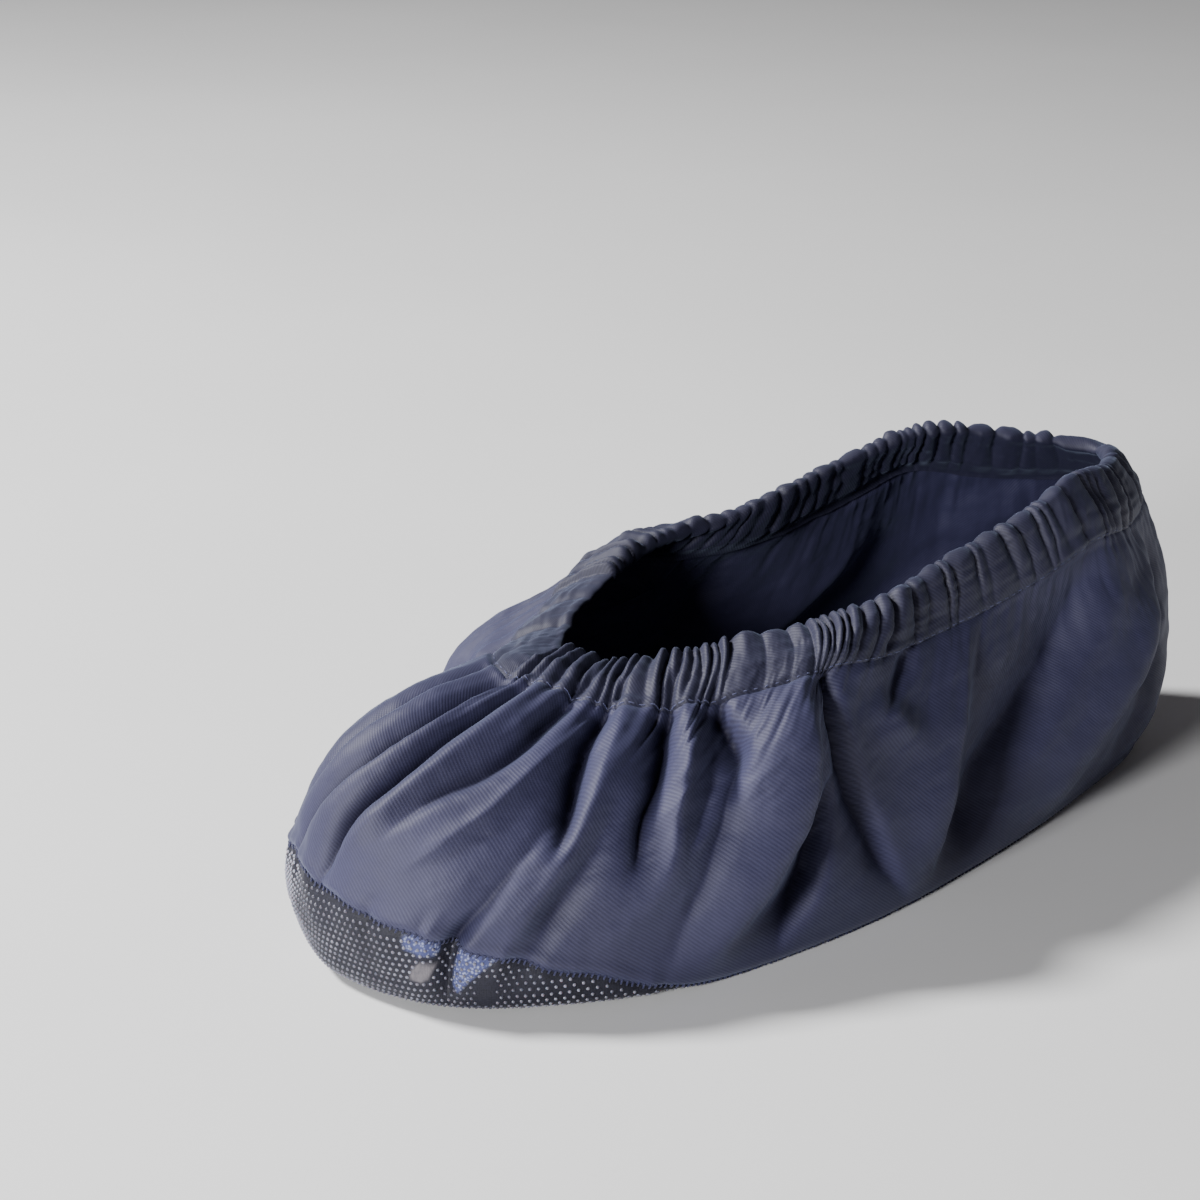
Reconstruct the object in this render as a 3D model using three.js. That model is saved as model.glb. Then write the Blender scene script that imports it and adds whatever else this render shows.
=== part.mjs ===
// A gathered cloth overshoe in the form that it has over a boot: a twill upper whose
// folds run down from the mouth, a casing turned in at the rim with an elastic in it,
// and a sole of grip cloth that is drawn up over the toe.
// Millimetres, +Z up, toe towards -Y, the left foot's outer side towards +X.
import * as THREE from "three";

// Overall sizes
const SOLE_LENGTH = 306;
const SOLE_WIDTH = 136;
const RIM_HEIGHT = 108;
const MOUTH_LENGTH = 210;
const MOUTH_WIDTH = 80;
const MOUTH_SETBACK = 38; // the mouth's middle behind the sole's middle
const CORNER_RADIUS = 10; // the largest round at the ground, at the toe
const TOE_WRAP = 38; // grip cloth drawn up over the toe, measured on the cloth

// Cloth and elastic
const CLOTH = 1.4;
const GRIP_CLOTH = 2;
const CASING_WIDTH = 22;
const ELASTIC_WIDTH = 12;
const ELASTIC_THICKNESS = 1.2;
const TUNNEL_CLEARANCE = 0.8; // between the elastic and the cloth round it
const SEAM_GAP = 0.3; // between two cloth edges that are sewn together

// Folds and gathers
const FOLD_DEPTH = 8;
const GATHERS = 66; // all round the rim
const GATHER_DEPTH = 2.6;
const EVEN_GATHERS = 0.22; // depth of the gathers between the bunches, as a share
const CROWDING = 1.6; // how much closer together the gathers are in a bunch
const GATHER_FADE = 0.24; // how far below the casing the gathers run, as a height
const SCALLOP = 1.6; // how far a gather lifts the rim

// How finely the faceted solids follow the cloth
const UPPER_ROWS = [0, 0.1, 0.22, 0.35, 0.48, 0.61, 0.74, 0.87, 1];
const SOLE_ROWS = [0, 0.5, 1];
const PROFILE_STEPS = 96;

// A table's rows as objects with named columns.
function table(columns, rows) {
  return rows.map((row) => Object.fromEntries(columns.map((name, i) => [name, row[i]])));
}

// The spokes of the outer side, evenly round from the toe to the heel. The inner side
// mirrors them. along and mouthAlong are shares of the lengths; across, mouthAcross and
// swell of the widths; rise, wallUp and drop of RIM_HEIGHT; reach of SOLE_LENGTH; corner
// of CORNER_RADIUS; seam of TOE_WRAP. swell and wallUp lean the wall out at its foot,
// reach and drop carry it down and out from the mouth.
const SPOKE_COLUMNS = [
  "along", "across", "mouthAlong", "mouthAcross", "rise",
  "swell", "wallUp", "reach", "drop", "corner", "seam",
];
const SPOKES = table(SPOKE_COLUMNS, [
  [-0.495, 0, -0.5, 0, 0.707, 0.081, 0.454, 0.233, -0.067, 1, 1],
  [-0.457, 0.247, -0.433, 0.25, 0.739, 0.082, 0.438, 0.193, 0.229, 0.96, 0.82],
  [-0.36, 0.404, -0.311, 0.412, 0.78, 0.048, 0.37, 0.116, 0.179, 0.8, 0.5],
  [-0.221, 0.493, -0.208, 0.491, 0.795, 0.033, 0.39, 0.074, 0, 0.5, 0.12],
  [-0.038, 0.496, -0.017, 0.503, 0.84, 0.026, 0.367, 0, 0.128, 0.4, 0.08],
  [0.138, 0.435, 0.146, 0.481, 0.912, 0.04, 0.37, 0.026, 0.255, 0.4, 0.08],
  [0.312, 0.34, 0.277, 0.404, 0.97, 0.081, 0.329, 0.084, 0.318, 0.5, 0.08],
  [0.45, 0.222, 0.414, 0.265, 0.93, 0.11, 0.26, 0.06, 0.32, 0.6, 0.08],
  [0.5, 0, 0.5, 0, 0.905, 0.056, 0.368, 0.11, 0.243, 0.6, 0.08],
]);

// The folds, from the casing down. top and foot are the places of a fold's ends as turns
// round from the toe by the outer side, and from and to their heights on the cloth, from 0
// at the ground to 1 at the casing. The half widths are turns too. height is a share of
// FOLD_DEPTH, above 0 for a ridge and below 0 for a valley, and bow carries the middle of
// the fold sideways.
const FOLD_COLUMNS = ["top", "foot", "from", "to", "topWidth", "footWidth", "height", "bow"];
const TOE_FOLDS = table(FOLD_COLUMNS, [
  [-0.095, -0.06, 1.05, 0.25, 0.03, 0.034, -0.55, 0],
  [-0.014, -0.022, 1, 0.35, 0.009, 0.011, -0.75, 0.016],
  [-0.004, -0.012, 1.02, 0.35, 0.01, 0.013, 0.4, 0.011],
  [0.015, 0.006, 1.03, 0.3, 0.0095, 0.012, -1, 0.01],
  [0.034, 0.036, 1.01, 0.22, 0.013, 0.024, 0.5, 0.004],
  [0.054, 0.083, 1.03, 0.44, 0.0095, 0.011, -0.95, -0.004],
  [0.062, 0.09, 1.02, 0.1, 0.011, 0.014, 0.55, 0.002],
]);
const SIDE_FOLDS = table(FOLD_COLUMNS, [
  [0.078, 0.14, 1.03, 0.4, 0.0095, 0.011, -1, -0.002],
  [0.086, 0.148, 1.02, 0.38, 0.01, 0.012, 0.45, -0.004],
  [0.1015, 0.172, 1.01, 0.15, 0.011, 0.014, -0.7, 0.026],
  [0.125, 0.188, 1, 0, 0.018, 0.024, 0.45, 0.034],
  [0.22, 0.208, 0.56, -0.3, 0.009, 0.018, -0.75, 0],
  [0.185, 0.268, 1.02, 0.02, 0.011, 0.011, -0.6, 0.004],
  [0.24, 0.23, 1.01, 0.7, 0.01, 0.01, -0.45, 0],
  [0.284, 0.276, 0.98, 0.02, 0.016, 0.018, 0.5, 0],
  [0.352, 0.298, 1.01, 0, 0.03, 0.02, -0.85, 0.004],
  [0.447, 0.345, 0.95, 0.02, 0.016, 0.018, 0.6, 0.006],
  [0.455, 0.402, 1.01, 0.05, 0.015, 0.018, -0.5, 0.006],
  [0.49, 0.455, 1, 0.05, 0.014, 0.016, 0.35, 0],
]);

// Where the elastic bunches the cloth. at and spread are turns, and depth is a share of
// GATHER_DEPTH.
const BUNCHES = table(["at", "spread", "depth"], [
  [-0.062, 0.022, 0.9],
  [-0.022, 0.014, 0.8],
  [0.046, 0.018, 1],
  [0.093, 0.013, 1],
  [0.196, 0.014, 1],
  [0.256, 0.02, 0.6],
  [0.3, 0.018, 0.7],
  [0.35, 0.02, 0.6],
  [0.405, 0.024, 0.7],
  [0.47, 0.03, 0.6],
]);

// The inner side is hidden in use, so it repeats the outer folds, turned a little and
// shallower.
const INNER_SHIFT = 0.011;
const INNER_SHARE = 0.85;

const UP = new THREE.Vector3(0, 0, 1);
const clamp = THREE.MathUtils.clamp;
const lerp = THREE.MathUtils.lerp;
const smooth = THREE.MathUtils.smoothstep;

function mirrored(spoke) {
  return { ...spoke, across: -spoke.across, mouthAcross: -spoke.mouthAcross };
}
const ALL_SPOKES = [...SPOKES, ...SPOKES.slice(1, -1).reverse().map(mirrored)];
const innerFold = (fold) => ({
  ...fold,
  top: INNER_SHIFT - fold.top,
  foot: INNER_SHIFT - fold.foot,
  bow: -fold.bow,
  height: fold.height * INNER_SHARE,
});
const innerBunch = (bunch) => ({
  ...bunch,
  at: INNER_SHIFT - bunch.at,
  depth: bunch.depth * INNER_SHARE,
});
const FOLDS = [...TOE_FOLDS, ...SIDE_FOLDS, ...SIDE_FOLDS.filter((fold) => fold.top > 0.11).map(innerFold)];
const ALL_BUNCHES = [...BUNCHES, ...BUNCHES.filter((bunch) => bunch.at > 0.11).map(innerBunch)];

// A column of the spokes at any turn, on a closed Catmull-Rom curve.
function spokeValue(name, turn) {
  const count = ALL_SPOKES.length;
  const place = (turn - Math.floor(turn)) * count;
  const first = Math.floor(place);
  const f = place - first;
  const [a, b, c, d] = [-1, 0, 1, 2].map((step) => ALL_SPOKES[(first + step + count) % count][name]);
  const bend = 2 * a - 5 * b + 4 * c - d;
  const twist = 3 * b - a - 3 * c + d;
  return b + 0.5 * ((c - a) * f + bend * f * f + twist * f ** 3);
}

// The smooth outer surface's profile at one turn: from the edge of the flat sole, round
// the corner and up the wall to the rim, with its length measured along the cloth.
const profiles = new Map();
function groundPoint(turn) {
  return new THREE.Vector3(
    SOLE_WIDTH * spokeValue("across", turn),
    SOLE_LENGTH * spokeValue("along", turn),
    0,
  );
}
function profile(turn) {
  if (profiles.has(turn)) return profiles.get(turn);
  const value = (name) => spokeValue(name, turn);
  const step = 1e-3;
  const ground = groundPoint(turn);
  const out = groundPoint(turn + step).sub(groundPoint(turn - step)).cross(UP).normalize();
  const radius = CORNER_RADIUS * value("corner");
  const centre = ground.clone().addScaledVector(out, -radius).addScaledVector(UP, radius);
  const points = [];
  const cornerSteps = PROFILE_STEPS / 4;
  for (let i = 0; i < cornerSteps; i++) {
    const angle = (Math.PI / 2) * (i / cornerSteps);
    points.push(
      centre.clone()
        .addScaledVector(out, radius * Math.sin(angle))
        .addScaledVector(UP, -radius * Math.cos(angle)),
    );
  }
  const rim = new THREE.Vector3(
    MOUTH_WIDTH * value("mouthAcross"),
    MOUTH_SETBACK + MOUTH_LENGTH * value("mouthAlong"),
    RIM_HEIGHT * value("rise"),
  );
  const wall = new THREE.CubicBezierCurve3(
    ground.clone().addScaledVector(UP, radius),
    ground.clone()
      .addScaledVector(out, SOLE_WIDTH * value("swell"))
      .addScaledVector(UP, RIM_HEIGHT * value("wallUp")),
    rim.clone()
      .addScaledVector(out, SOLE_LENGTH * value("reach"))
      .addScaledVector(UP, -RIM_HEIGHT * value("drop")),
    rim,
  );
  points.push(...wall.getPoints(PROFILE_STEPS));
  const lengths = [0];
  for (let i = 1; i < points.length; i++)
    lengths.push(lengths[i - 1] + points[i].distanceTo(points[i - 1]));
  const made = { points, lengths, full: lengths.at(-1) };
  profiles.set(turn, made);
  return made;
}
const seamLength = (turn) => TOE_WRAP * spokeValue("seam", turn);
const stitchLength = (turn) => profile(turn).full - CASING_WIDTH;

// The point a length up the profile; past either end it runs straight on.
function smoothPoint(turn, length) {
  const { points, lengths } = profile(turn);
  let i = 1;
  while (i < lengths.length - 1 && lengths[i] < length) i++;
  const share = (length - lengths[i - 1]) / (lengths[i] - lengths[i - 1]);
  return points[i - 1].clone().lerp(points[i], share);
}
function smoothNormal(turn, length) {
  if (length === 0) return UP.clone().negate();
  const turnStep = 2e-3;
  const lengthStep = 1;
  const round = smoothPoint(turn + turnStep, length).sub(smoothPoint(turn - turnStep, length));
  const rising = smoothPoint(turn, length + lengthStep).sub(smoothPoint(turn, length - lengthStep));
  return round.cross(rising).normalize();
}

// How far a turn lies from another, the short way round.
const turnsBetween = (a, b) => a - b - Math.round(a - b);

// How far the folds carry the cloth out at a height, 1 being the casing's foot.
function foldDepth(turn, height) {
  let depth = 0;
  for (const fold of FOLDS) {
    const down = (fold.from - height) / (fold.from - fold.to);
    const shown = smooth(down, -0.12, 0.2) * (1 - smooth(down, 0.5, 1.05));
    if (shown === 0) continue;
    const along = clamp(down, 0, 1);
    const middle = lerp(fold.top, fold.foot, along) + fold.bow * 4 * along * (1 - along);
    const width = lerp(fold.topWidth, fold.footWidth, along);
    const off = turnsBetween(turn, middle) / width;
    depth += fold.height * shown * Math.exp(-off * off);
  }
  return FOLD_DEPTH * depth;
}

// How strongly the elastic bunches the cloth at a turn, from 0 to about 1.
function bunching(turn) {
  const share = (bunch) => bunch.depth * Math.exp(-((turnsBetween(turn, bunch.at) / bunch.spread) ** 2));
  return Math.min(1, ALL_BUNCHES.reduce((sum, bunch) => sum + share(bunch), 0));
}

// The solids' columns all round: two to a gather, one on its ridge and one in the valley
// beside it. They lie closer together in a bunch.
function cutColumns() {
  const steps = 4000;
  const crowd = [0];
  for (let i = 0; i < steps; i++) crowd.push(crowd[i] + 1 + CROWDING * bunching((i + 0.5) / steps));
  const columns = [];
  for (let i = 0, step = 0; i < 2 * GATHERS; i++) {
    const wanted = (crowd[steps] * i) / (2 * GATHERS);
    while (crowd[step + 1] < wanted) step++;
    const turn = (step + (wanted - crowd[step]) / (crowd[step + 1] - crowd[step])) / steps;
    const depth = lerp(EVEN_GATHERS, 1, bunching(turn));
    columns.push({ turn, gather: i % 2 === 0 ? depth : 0 });
  }
  return columns;
}
const COLUMNS = cutColumns();

// A point of the cloth: on the outer surface at depth 0, further in as depth grows. The
// folds carry every layer alike, so that the wall keeps its thickness, and run straight
// up through the casing.
function clothPoint({ turn, gather }, length, depth = 0, gatherShare = 1) {
  const height = length / stitchLength(turn);
  const lifted = smooth(length, 0, 2.5 * CORNER_RADIUS);
  const gathered = smooth(height, 1 - GATHER_FADE, 1) * gatherShare;
  const out = lifted * foldDepth(turn, Math.min(height, 1)) + gathered * GATHER_DEPTH * gather;
  return smoothPoint(turn, length).addScaledVector(smoothNormal(turn, length), out - depth);
}

// A solid from the rows of a section, each drawn once round the overshoe: up is any
// measure of a row's height. A closed section makes a tube; otherwise the first and last
// row are capped at their middles. The four-sided faces are split the way the folds run,
// down and back, alike on the outside and inside of the cloth.
function wrappedSolid(section, pointAt, closed) {
  const count = COLUMNS.length;
  const rings = section.map((row) => COLUMNS.map((column) => pointAt(column, row)));
  const points = rings.flat();
  const faces = [];
  const at = (row, column) => (row % section.length) * count + (column % count);
  for (let row = 0; row < (closed ? section.length : section.length - 1); row++) {
    const rising = section[(row + 1) % section.length].up >= section[row].up;
    for (let column = 0; column < count; column++) {
      const [a, b] = [at(row, column), at(row, column + 1)];
      const [c, d] = [at(row + 1, column), at(row + 1, column + 1)];
      const outerSide = column < count / 2;
      if (rising === outerSide) faces.push(a, b, c, b, d, c);
      else faces.push(a, b, d, a, d, c);
    }
  }
  if (!closed) {
    const first = points.push(middleOf(rings[0])) - 1;
    const last = points.push(middleOf(rings.at(-1))) - 1;
    for (let column = 0; column < count; column++) {
      faces.push(first, at(0, column + 1), at(0, column));
      faces.push(last, at(section.length - 1, column), at(section.length - 1, column + 1));
    }
  }
  const geometry = new THREE.BufferGeometry().setFromPoints(points);
  geometry.setIndex(faces);
  return geometry;
}
function middleOf(ring) {
  const sum = ring.reduce((total, point) => total.add(point), new THREE.Vector3());
  return sum.divideScalar(ring.length);
}

// The upper: one layer of twill from the sole's seam to the casing.
function upperGeometry() {
  const pointAt = (column, { up, depth }) => {
    const low = seamLength(column.turn) + SEAM_GAP / 2;
    const high = stitchLength(column.turn) - SEAM_GAP / 2;
    return clothPoint(column, lerp(low, high, up), depth);
  };
  return wrappedSolid(twoLayers(UPPER_ROWS, CLOTH), pointAt, true);
}
function twoLayers(heights, thickness) {
  const outer = heights.map((up) => ({ up, depth: 0 }));
  const inner = heights.map((up) => ({ up, depth: thickness }));
  return [...outer, ...inner.reverse()];
}

// The casing: the twill turned in at the rim and stitched down, with a tunnel between its
// two legs. A row of its section holds the way up from the stitches, the depth into the
// cloth, and how far the gathers carry it out.
const TUNNEL = ELASTIC_THICKNESS + 2 * TUNNEL_CLEARANCE;
const CASING_DEPTH = TUNNEL + 2 * CLOTH;
const TUNNEL_BOTTOM = CASING_DEPTH;
const TUNNEL_TOP = CASING_WIDTH - CASING_DEPTH / 2;
function casingGeometry() {
  const low = SEAM_GAP / 2;
  const inner = CLOTH + SEAM_GAP;
  const section = table(["up", "depth", "gather"], [
    [low, 0, 1],
    [CASING_WIDTH / 2, 0, 1],
    [TUNNEL_TOP, 0, 1],
    [CASING_WIDTH, CASING_DEPTH / 2, 0.4],
    [TUNNEL_TOP, CASING_DEPTH, -0.4],
    [CASING_WIDTH / 2, CASING_DEPTH, -0.6],
    [TUNNEL_BOTTOM, CASING_DEPTH, -0.4],
    [low, inner + CLOTH, 1],
    [low, inner, 1],
    [TUNNEL_BOTTOM, CASING_DEPTH - CLOTH, -0.4],
    [TUNNEL_TOP, CASING_DEPTH - CLOTH, -0.4],
    [TUNNEL_TOP, CLOTH, 1],
    [CASING_WIDTH / 2, CLOTH, 1],
    [low, CLOTH, 1],
  ]);
  const pointAt = (column, { up, depth, gather }) => {
    const lift = SCALLOP * column.gather * (up / CASING_WIDTH) ** 2;
    return clothPoint(column, stitchLength(column.turn) + up + lift, depth, gather);
  };
  return wrappedSolid(section, pointAt, true);
}

// The elastic: a flat band that runs right round in the casing's tunnel.
function elasticGeometry() {
  const middle = (TUNNEL_BOTTOM + TUNNEL_TOP) / 2;
  const [low, high] = [middle - ELASTIC_WIDTH / 2, middle + ELASTIC_WIDTH / 2];
  const near = CLOTH + TUNNEL_CLEARANCE;
  const far = near + ELASTIC_THICKNESS;
  const section = table(["up", "depth"], [[low, near], [high, near], [high, far], [low, far]]);
  const pointAt = (column, { up, depth }) =>
    clothPoint(column, stitchLength(column.turn) + up, depth, 0);
  return wrappedSolid(section, pointAt, true);
}

// The sole: grip cloth, flat under the foot and drawn up round the toe to the seam.
function soleGeometry() {
  const pointAt = (column, { up, depth }) =>
    clothPoint(column, (seamLength(column.turn) - SEAM_GAP / 2) * up, depth);
  return wrappedSolid(twoLayers(SOLE_ROWS, GRIP_CLOTH), pointAt, false);
}

function clothMaterial(colour, roughness) {
  return new THREE.MeshStandardMaterial({ color: colour, roughness, metalness: 0 });
}
function mesh(name, geometry, material) {
  const made = new THREE.Mesh(geometry, material);
  made.name = name;
  return made;
}

const twill = clothMaterial(0x2b2d4a, 0.55);
const overshoe = new THREE.Group();
overshoe.add(
  mesh("upper", upperGeometry(), twill),
  mesh("casing", casingGeometry(), twill),
  mesh("elastic", elasticGeometry(), clothMaterial(0xd8d8d4, 0.8)),
  mesh("sole", soleGeometry(), clothMaterial(0x30303f, 0.7)),
);

// The origin is under the middle of the whole.
const bounds = new THREE.Box3().setFromObject(overshoe);
const centre = bounds.getCenter(new THREE.Vector3());
overshoe.position.set(-centre.x, -centre.y, -bounds.min.z);

export default overshoe;
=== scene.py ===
"""The cloth overshoe's looks: twill with folds, gathers and stitches, and a dotted grip sole.

Lengths are millimetres until a piece's mesh is made, and metres from then on. A place on
the cloth is a turn, round from the toe by the outer side, and a level, from 0 at the edge
of the flat sole to 1 at the casing's stitches and 2 at the rim.
"""
import math
from collections import namedtuple

import bpy
import numpy as np
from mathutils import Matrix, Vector


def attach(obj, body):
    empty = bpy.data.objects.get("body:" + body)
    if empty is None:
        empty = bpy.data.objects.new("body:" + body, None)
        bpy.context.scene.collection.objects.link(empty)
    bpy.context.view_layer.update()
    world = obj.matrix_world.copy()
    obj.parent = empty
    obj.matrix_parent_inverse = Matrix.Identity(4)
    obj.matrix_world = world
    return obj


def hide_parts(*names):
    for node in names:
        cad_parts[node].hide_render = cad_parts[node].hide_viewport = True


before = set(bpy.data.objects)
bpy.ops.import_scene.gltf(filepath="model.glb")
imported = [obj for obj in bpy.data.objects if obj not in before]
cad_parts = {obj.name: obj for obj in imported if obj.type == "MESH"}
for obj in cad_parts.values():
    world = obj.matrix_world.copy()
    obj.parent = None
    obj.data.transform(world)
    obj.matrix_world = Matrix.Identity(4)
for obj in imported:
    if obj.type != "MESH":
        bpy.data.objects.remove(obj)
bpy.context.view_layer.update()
rng = np.random.default_rng(7)

# Sizes, as in the CAD
SOLE_LENGTH = 306
SOLE_WIDTH = 136
RIM_HEIGHT = 108
MOUTH_LENGTH = 210
MOUTH_WIDTH = 80
MOUTH_SETBACK = 38
CORNER_RADIUS = 10
TOE_WRAP = 38
CASING_WIDTH = 22
SHIFT = (-0.34, -5.23, 0.0)  # how far the CAD moved its solids to centre them

Spoke = namedtuple(
    "Spoke", "along across mouth_along mouth_across rise swell wall_up reach drop corner seam")
SPOKES = [Spoke(*row) for row in (
    (-.495, 0, -.5, 0, .707, .081, .454, .233, -.067, 1, 1),
    (-.457, .247, -.433, .25, .739, .082, .438, .193, .229, .96, .82),
    (-.36, .404, -.311, .412, .78, .048, .37, .116, .179, .8, .5),
    (-.221, .493, -.208, .491, .795, .033, .39, .074, 0, .5, .12),
    (-.038, .496, -.017, .503, .84, .026, .367, 0, .128, .4, .08),
    (.138, .435, .146, .481, .912, .04, .37, .026, .255, .4, .08),
    (.312, .34, .277, .404, .97, .081, .329, .084, .318, .5, .08),
    (.45, .222, .414, .265, .93, .11, .26, .06, .32, .6, .08),
    (.5, 0, .5, 0, .905, .056, .368, .11, .243, .6, .08),
)]


def smooth(x, low, high):
    x = np.clip((x - low) / (high - low), 0, 1)
    return x * x * (3 - 2 * x)


# The smooth surface, on a fine chart of turns and levels

TURNS = 1800
LEVELS = 321  # 0 to 2
CORNER_STEPS = 24
WALL_STEPS = 150
GIRTH_ROW = 60  # the row of levels, close to the longest girth, that gives the cloth its scale


def columns_of(count):
    """Turns of a ring's columns; the last one, at 1, repeats the first."""
    return np.arange(count + 1) / count


turn_axis = columns_of(TURNS)[:-1]
level_axis = np.linspace(0, 2, LEVELS)


def around(name, turn):
    """A column of the spokes at any turns, on a closed Catmull-Rom curve."""
    side = [getattr(spoke, name) for spoke in SPOKES]
    sign = -1 if "across" in name else 1
    ring = np.array(side + [sign * value for value in side[-2:0:-1]])
    count = len(ring)
    place = np.mod(turn, 1) * count
    i = np.floor(place).astype(int)
    f = place - i
    a, b, c, d = (ring[(i + step) % count] for step in (-1, 0, 1, 2))
    square, cube = 2 * a - 5 * b + 4 * c - d, 3 * b - a - 3 * c + d
    return b + 0.5 * ((c - a) * f + square * f**2 + cube * f**3)


def smooth_chart():
    """Points, outward normals and cloth lengths of the chart."""
    t = turn_axis
    zero = np.zeros_like(t)
    ground = np.stack([SOLE_WIDTH * around("across", t), SOLE_LENGTH * around("along", t), zero], 1)
    tangent = np.roll(ground, -1, 0) - np.roll(ground, 1, 0)
    out = np.stack([tangent[:, 1], -tangent[:, 0], zero], 1)
    out /= np.linalg.norm(out, axis=1, keepdims=True)
    up = np.array([[0, 0, 1.0]])
    radius = (CORNER_RADIUS * around("corner", t))[:, None]
    angle = np.linspace(0, math.pi / 2, CORNER_STEPS + 1)[None, :-1, None]
    centre = (ground - radius * out + radius * up)[:, None]
    corner = centre + (radius * out)[:, None] * np.sin(angle)
    corner = corner - (radius * up)[:, None] * np.cos(angle)
    rim = np.stack([
        MOUTH_WIDTH * around("mouth_across", t),
        MOUTH_SETBACK + MOUTH_LENGTH * around("mouth_along", t),
        RIM_HEIGHT * around("rise", t),
    ], 1)
    share = lambda name, size: (size * around(name, t))[:, None]
    start = ground + radius * up
    low = ground + share("swell", SOLE_WIDTH) * out + share("wall_up", RIM_HEIGHT) * up
    high = rim + share("reach", SOLE_LENGTH) * out - share("drop", RIM_HEIGHT) * up
    v = np.linspace(0, 1, WALL_STEPS)[None, :, None]
    wall = ((1 - v)**3 * start[:, None] + 3 * (1 - v)**2 * v * low[:, None]
            + 3 * (1 - v) * v**2 * high[:, None] + v**3 * rim[:, None])
    line = np.concatenate([corner, wall], 1)
    steps = np.linalg.norm(np.diff(line, axis=1), axis=2)
    lengths = np.concatenate([np.zeros((TURNS, 1)), np.cumsum(steps, 1)], 1)
    stitch = lengths[:, -1] - CASING_WIDTH
    wanted = level_to_length(level_axis[None], stitch[:, None])
    points = np.empty((TURNS, LEVELS, 3))
    for i in range(TURNS):
        for k in range(3):
            points[i, :, k] = np.interp(wanted[i], lengths[i], line[i, :, k])
    round_ = np.roll(points, -2, 0) - np.roll(points, 2, 0)
    rising = np.gradient(points, axis=1)
    normals = np.cross(round_, rising)
    normals /= np.maximum(np.linalg.norm(normals, axis=2, keepdims=True), 1e-9)
    return points, normals, wanted, stitch


def level_to_length(level, stitch):
    return np.where(level <= 1, level * stitch, stitch + (level - 1) * CASING_WIDTH)


base, normal, length, stitch_at = smooth_chart()
row_steps = np.linalg.norm(np.roll(base, -1, 0) - base, axis=2)
row_place = np.concatenate([np.zeros((1, LEVELS)), np.cumsum(row_steps, 0)[:-1]], 0)
row_total = row_steps.sum(0)  # mm round a level, and row_place how far round each turn is
cloth_place = row_place[:, GIRTH_ROW]
cloth_girth = row_total[GIRTH_ROW]
level_grid = np.broadcast_to(level_axis, (TURNS, LEVELS))
turn_grid = np.broadcast_to(turn_axis[:, None], (TURNS, LEVELS))


def noise(cells_round, cells_up, seed, octaves=1):
    """Smooth noise of about -1 to 1 on the chart, which closes round the shoe."""
    total = np.zeros((TURNS, LEVELS))
    for octave in range(octaves):
        a, b = cells_round * 2**octave, cells_up * 2**octave
        grid = np.random.default_rng(seed + octave).normal(size=(a, b + 4))
        x = turn_grid * a
        y = level_grid / 2 * b + 1
        i, j = np.floor(x).astype(int), np.floor(y).astype(int)
        u, v = x - i, y - j
        u, v = u * u * (3 - 2 * u), v * v * (3 - 2 * v)
        g = lambda p, q: grid[(i + p) % a, np.clip(j + q, 0, b + 3)]
        total += ((g(0, 0) * (1 - u) + g(1, 0) * u) * (1 - v)
                  + (g(0, 1) * (1 - u) + g(1, 1) * u) * v) / 2**octave
    return total * 0.7


# Folds. A fold is drawn through rows of (level, turn, depth, near, far): depth in mm, above
# 0 for a valley and below 0 for a ridge; near and far are its half widths in mm towards
# the toe and the heel.

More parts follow.
